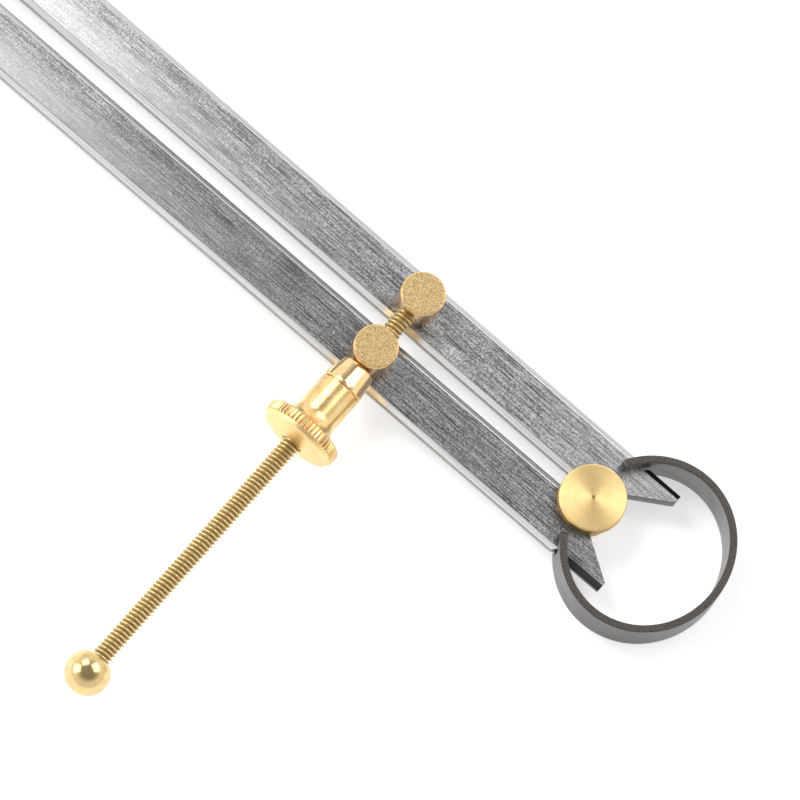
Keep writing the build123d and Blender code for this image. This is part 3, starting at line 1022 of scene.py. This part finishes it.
def spring_steel():
    """Tempered band: satin grey faces, painted shade on the outside towards the crown, and dark grainy edges.
    """
    look = Look("spring_steel")
    on_edge = look.spread(look.facing("Z"), 0.35, 0.75)
    grit = look.noise((4.6, 4.6, 4.6), 4.0, 0.8)
    satin = look.noise((1.2, 1.2, 3.0), 3.0, 0.6)
    cloud = look.noise((0.10, 0.10, 0.16), 3.0, 0.6)
    mark = look.scratches((0.12, 0.12, 0.16), 0.003)
    face = look.blend(look.spread(satin, 0.30, 0.70), shade("858587"), shade("a6a6a8"))
    face = look.blend(look.spread(cloud, 0.40, 0.62, 0.0, 0.45), face, shade("66625f"))
    face = look.blend(look.times(mark, 0.7), face, shade("322e2c"))
    # painted shade: the band's outside is painted darker towards the crown
    out_along = look.times(look.normal("X"), look.math("SUBTRACT", look.place("X"), BOW_CENTRE))
    out_across = look.times(look.normal("Y"), look.place("Y"))
    outside = look.spread(look.plus(out_along, out_across), -BOW_OUTSIDE, BOW_OUTSIDE)
    crown = look.spread(look.place("X"), BOW_SHADE_START, BOW_SHADE_END, 0.0, 0.62)
    face = look.blend(look.times(outside, crown), face, shade("565455"))
    edge = look.blend(look.spread(grit, 0.40, 0.64), shade("262322"), shade("857d77"))
    look.metal(look.blend(on_edge, face, edge), look.spread(on_edge, 0.0, 1.0, 0.28, 0.50))
    look.shader.inputs["Specular Tint"].default_value = SPRING_GRAZING
    look.bump(look.times(grit, look.spread(on_edge, 0.0, 1.0, 0.06, 1.0)), 0.06, 0.7)
    return look.material


def cap_brass():
    """Bright brass faced in a lathe: fine rings and highlights that fan out from the middle."""
    look = Look("cap_brass")
    radius = look.from_axis()
    ring = look.turning_lines(radius, 4.0)
    grit = look.noise((4.2, 4.2, 4.2), 3.0, 0.7)
    cloud = look.noise((0.30, 0.30, 0.30), 3.0)
    base = look.blend(look.spread(ring, 0.35, 0.65), shade("ffd894"), shade("ffe6aa"))
    base = look.blend(look.spread(cloud, 0.45, 0.70, 0.0, 0.35), base, shade("f0cc88"))
    base = look.blend(look.spread(grit, 0.48, 0.66, 0.0, 0.36), base, shade("d6a662"))
    pip = look.spread(radius, 0.15, 0.7, 0.85, 0.0)
    base = look.blend(pip, base, shade("6f5527"))
    # painted shade: the cap's side wall is painted darker brass
    side = look.spread(look.facing("Z"), 0.25, 0.60, 0.62, 0.0)
    base = look.blend(side, base, shade("8f6a38"))
    look.metal(base, look.spread(ring, 0.3, 0.7, 0.40, 0.46))
    look.bump(look.plus(ring, look.times(grit, 0.4)), 0.014, 0.6)
    look.turned(0.75)
    return look.material


def post_brass():
    """Brass with a sandy top and smoother sides."""
    look = Look("post_brass")
    top = look.spread(look.normal("Z"), 0.7, 0.95)
    grit = look.noise((3.0, 3.0, 3.0), 4.0, 0.85)
    spots = look.noise((1.1, 1.1, 1.1), 3.0, 0.7)
    sandy = look.blend(look.spread(grit, 0.38, 0.62), shade("8c6d39"), shade("f4dcaa"))
    sandy = look.blend(look.spread(spots, 0.42, 0.68, 0.0, 0.45), sandy, shade("c9a268"))
    side = look.blend(look.spread(spots, 0.35, 0.7), shade("e3bf86"), shade("cda479"))
    look.metal(look.blend(top, side, sandy), look.spread(top, 0.0, 1.0, 0.24, 0.42))
    look.bump(look.times(grit, look.spread(top, 0.0, 1.0, 0.06, 1.0)), 0.05, 0.8)
    return look.material


def cloudy_brass(look, light, deep):
    """Two tones of brass in soft clouds."""
    cloud = look.noise((0.5, 0.5, 0.5), 3.0)
    return look.blend(look.spread(cloud, 0.35, 0.65), shade(light), shade(deep))


def smears(look):
    """Faint smears round a turned piece, for its gloss."""
    return look.noise((1.6, 1.6, 0.5), 3.0, 0.6)


def polished_brass(name, light, deep, gloss, relief):
    """Polished brass with faint turning lines and a little smear in its gloss."""
    look = Look(name)
    lines = look.turning_lines(look.place("Z"), 6.0)
    smear = smears(look)
    look.metal(cloudy_brass(look, light, deep), look.spread(smear, 0.3, 0.7, gloss, gloss + 0.1))
    look.bump(look.plus(lines, look.times(smear, 0.3)), 0.006, relief)
    return look.material


def knurl_brass():
    """The nut's barrel and disc: glossy in front, duller behind, and darker in the knurl's grooves."""
    look = Look("knurl_brass")
    radius = look.from_axis()
    height = look.place("Z")
    smear = smears(look)
    past_front = look.math("GREATER_THAN", height, DISC_START)
    before_back = look.math("LESS_THAN", height, DISC_END - KNURL_BACK_MARGIN)
    crest = DISC_RADIUS - KNURL_CREST_DROP
    sunk = look.spread(radius, DISC_RADIUS - KNURL_DEPTH, crest, 1.0, 0.0)
    groove = look.times(look.times(past_front, before_back), sunk)
    behind = look.math("GREATER_THAN", height, DISC_END - DISC_BACK_MARGIN)
    base = cloudy_brass(look, "f7d9a0", "efc684")
    base = look.blend(look.times(groove, 0.5), base, shade("b0833f"))
    base = look.blend(look.times(behind, 0.65), base, shade("f3d79c"))
    look.metal(base, look.plus(look.spread(smear, 0.3, 0.7, 0.22, 0.30), look.times(behind, 0.14)))
    look.bump(smear, 0.006, 0.25)
    return look.material


def screw_brass():
    """The thread: dark olive in the root and bright along the crest."""
    look = Look("screw_brass")
    radius = look.from_axis()
    grime = look.noise((1.2, 1.2, 1.2), 3.0, 0.6)
    worn = look.spread(radius, CREST_RADIUS - WORN_START_DROP, CREST_RADIUS - WORN_FULL_DROP)
    root = look.spread(radius, ROOT_RADIUS, ROOT_RADIUS + ROOT_DARK_RISE, 0.6, 0.0)
    flank = look.blend(look.spread(grime, 0.3, 0.7), shade("c3aa72"), shade("d4bd88"))
    flank = look.blend(root, flank, shade("7d683d"))
    look.metal(look.blend(worn, flank, shade("f6e3b4")), look.spread(worn, 0.0, 1.0, 0.62, 0.30))
    look.bump(grime, 0.01, 0.4)
    return look.material


def inner_steel():
    """Plain steel for the small parts inside."""
    look = Look("inner_steel")
    grain = look.noise((2.0, 2.0, 2.0), 3.0)
    look.metal(look.blend(grain, shade("7d7d80"), shade("a9a9ab")), look.spread(grain, 0.3, 0.7, 0.3, 0.42))
    look.bump(grain, 0.01, 0.3)
    return look.material


def paint(thing, material):
    """Gives a piece its material."""
    thing.data.materials.clear()
    thing.data.materials.append(material)


def repaint_node(node, material):
    """Gives a shown CAD node a finished material."""
    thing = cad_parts[node]
    for place in thing.material_slots:
        place.material = material


# ---------------------------------------------------------------- the scene

def add_floor():
    """A plain pale floor under the tool."""
    bm = bmesh.new()
    bmesh.ops.create_grid(bm, x_segments=2, y_segments=2, size=FLOOR_REACH)
    floor = new_object("floor", mesh_from("floor", bm), Matrix.Translation((0, 0, CAD_BOX[0].z)))
    look = Look("floor_paper")
    cloud = look.noise((0.02, 0.02, 0.02), 2.0)
    tint = look.blend(cloud, shade(FLOOR_GREY), shade(FLOOR_PALE))
    look.feed(look.shader.inputs["Base Color"], tint)
    look.shader.inputs["Roughness"].default_value = FLOOR_ROUGHNESS
    look.shader.inputs["Specular IOR Level"].default_value = FLOOR_SHINE
    look.shader.inputs["Emission Color"].default_value = (1, 1, 1, 1)
    look.shader.inputs["Emission Strength"].default_value = FLOOR_GLOW
    floor.data.materials.append(look.material)


def add_world():
    """A bright surround with a dimmer ceiling and a dimmer side in front of the bow."""
    world = bpy.data.worlds.new("studio")
    world.use_nodes = True
    bpy.context.scene.world = world
    tree = world.node_tree
    background = tree.nodes["Background"]
    coordinates = tree.nodes.new("ShaderNodeTexCoord")
    split = tree.nodes.new("ShaderNodeSeparateXYZ")
    ramp = tree.nodes.new("ShaderNodeValToRGB")
    tree.links.new(coordinates.outputs["Generated"], split.inputs[0])
    tree.links.new(split.outputs["Z"], ramp.inputs[0])
    tree.links.new(ramp.outputs["Color"], background.inputs["Color"])
    side, top = ramp.color_ramp.elements
    side.position = SKY_SIDE_HEIGHT
    side.color = (SKY_SIDE, SKY_SIDE, SKY_SIDE, 1)
    top.position = SKY_TOP_HEIGHT
    top.color = (SKY_TOP, SKY_TOP, SKY_TOP * SKY_TOP_BLUE, 1)
    toward = tree.nodes.new("ShaderNodeVectorMath")
    toward.operation = "DOT_PRODUCT"
    toward.inputs[1].default_value = SKY_FRONT
    tree.links.new(coordinates.outputs["Generated"], toward.inputs[0])
    dim = tree.nodes.new("ShaderNodeMapRange")
    dim.inputs["From Min"].default_value = SKY_FRONT_START
    dim.inputs["From Max"].default_value = SKY_FRONT_FULL
    dim.inputs["To Min"].default_value = 1.0
    dim.inputs["To Max"].default_value = SKY_FRONT_SHARE
    tree.links.new(toward.outputs["Value"], dim.inputs["Value"])
    tree.links.new(dim.outputs["Result"], background.inputs["Strength"])


def add_softbox(name, place, aim, width, height, brightness, mirrored=True):
    """A rectangular soft light at a place in metres that faces a point, with its surface brightness."""
    light = bpy.data.lights.new(name, "AREA")
    light.shape = "RECTANGLE"
    light.size = width
    light.size_y = height
    light.energy = brightness * math.pi * width * height
    thing = bpy.data.objects.new(name, light)
    bpy.context.scene.collection.objects.link(thing)
    thing.location = Vector(place)
    thing.rotation_euler = (Vector(place) - Vector(aim)).to_track_quat("Z", "Y").to_euler()
    thing.visible_glossy = mirrored


def add_camera():
    """The camera, with a long lens, at the picture's angle."""
    azimuth, elevation = math.radians(CAMERA_AZIMUTH), math.radians(CAMERA_ELEVATION)
    back = Vector((
        math.sin(azimuth) * math.cos(elevation),
        -math.cos(azimuth) * math.cos(elevation),
        math.sin(elevation),
    ))
    data = bpy.data.cameras.new("camera")
    data.lens = CAMERA_LENS
    data.sensor_width = CAMERA_SENSOR
    distance = CAMERA_LENS / CAMERA_SENSOR * VIEW_WIDTH
    data.clip_start = distance * CAMERA_NEAR_SHARE
    data.clip_end = distance * CAMERA_FAR_SHARE
    camera = bpy.data.objects.new("camera", data)
    bpy.context.scene.collection.objects.link(camera)
    level = (-back).to_track_quat("-Z", "Y").to_matrix().to_4x4()
    roll = Matrix.Rotation(math.radians(CAMERA_ROLL), 4, "Z")
    camera.matrix_world = Matrix.Translation(Vector(CAMERA_AIM) + back * distance) @ level @ roll
    bpy.context.scene.camera = camera


steel = leg_steel()
spring = spring_steel()
cap_metal = cap_brass()
post_metal = post_brass()
nose_metal = polished_brass("nose_brass", "f8dca8", "f0ca8e", gloss=0.12, relief=0.25)
ball_metal = polished_brass("ball_brass", "e0c894", "d9bb80", gloss=0.14, relief=0.3)
nut_metal = knurl_brass()
thread_metal = screw_brass()
plain_steel = inner_steel()

for side in ("left", "right"):
    leg = make_leg(f"{side}_blade", f"{side}_leg", f"{side}_leg")
    paint(leg, steel)

for cap in make_fulcrum():
    paint(cap, cap_metal)

across = POST_RADIUS + BORE_SPARE
anchor_post = make_post(
    "anchor_post_turned", "anchor_post", "anchor", ANCHOR_BORE, -across, ANCHOR_BORE_END, pinned=True
)
paint(anchor_post, post_metal)
guide_post = make_post("guide_post_turned", "guide_post", "guide", GUIDE_BORE, -across, across)
paint(guide_post, post_metal)
for body in ("anchor", "guide"):
    washer = make_washer(f"{body}_washer_turned", f"{body}_washer", body)
    paint(washer, post_metal)

paint(make_screw(), thread_metal)
paint(make_ball(), ball_metal)
paint(make_nose(), nose_metal)
paint(make_sleeve(), nut_metal)

left_nodes = ("bow_spring_back", "bow_spring_left_arm")
paint(make_bow_half("bow_left_half", 1, left_nodes), spring)
right_nodes = ("bow_spring_right_arm",)
paint(make_bow_half("bow_right_half", -1, right_nodes), spring)

for node in ("anchor_pin", "nut_snap_ring", "jaw_spring_ring"):
    repaint_node(node, plain_steel)
for node in ("nut_jaw_upper", "nut_jaw_lower"):
    repaint_node(node, thread_metal)

add_floor()
add_world()
add_softbox("softbox_right", RIGHT_LIGHT, CAMERA_AIM, width=0.85, height=0.72, brightness=2.6)
add_softbox("softbox_left", LEFT_LIGHT, CAMERA_AIM, width=0.72, height=0.72, brightness=2.6)
add_softbox("softbox_points", POINTS_LIGHT, POINTS_AIM, width=0.20, height=0.22, brightness=3.2)
add_softbox(
    "softbox_shadow", SHADOW_LIGHT, CAMERA_AIM, width=0.46, height=0.46, brightness=10.0, mirrored=False
)
add_camera()
bpy.context.scene.view_settings.view_transform = "Standard"
